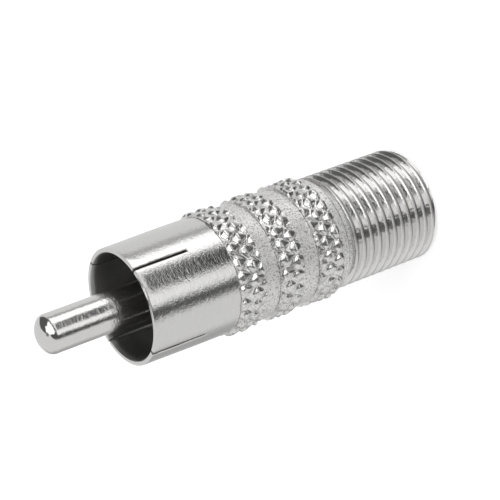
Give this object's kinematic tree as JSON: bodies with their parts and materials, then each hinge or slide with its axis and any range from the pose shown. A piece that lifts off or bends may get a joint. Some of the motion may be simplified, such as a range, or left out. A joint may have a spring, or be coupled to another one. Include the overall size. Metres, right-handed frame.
{
  "type": "rca to f-type adapter",
  "caption": "Straight coaxial adapter: a nickel plated barrel with diamond knurled bands, a slit sleeve and round pin at one end and a threaded coax socket at the other.",
  "frame": {"origin": "centre of the flat end face of the threaded socket end, which the adapter stands on", "axes": "+Z along the adapter's axis, from the threaded end to the tip of the pin; X in the die's parting plane"},
  "size_m": [0.0102, 0.0102, 0.0351],
  "materials": {
    "cast_nickel": "nickel plated die casting, matte on the knurls, bright on the thread",
    "sleeve_nickel": "bright nickel plate with fine turning marks",
    "pin_nickel": "polished nickel plate",
    "black_plastic": "moulded",
    "white_plastic": "moulded",
    "contact_brass": "plain"
  },
  "bodies": {
    "root": {"body": "cast_nickel", "rca_shell": "sleeve_nickel", "centre_pin": "pin_nickel", "rca_insulator": "black_plastic", "f_insulator": "white_plastic", "f_contact": "contact_brass"}
  },
  "joints": []
}
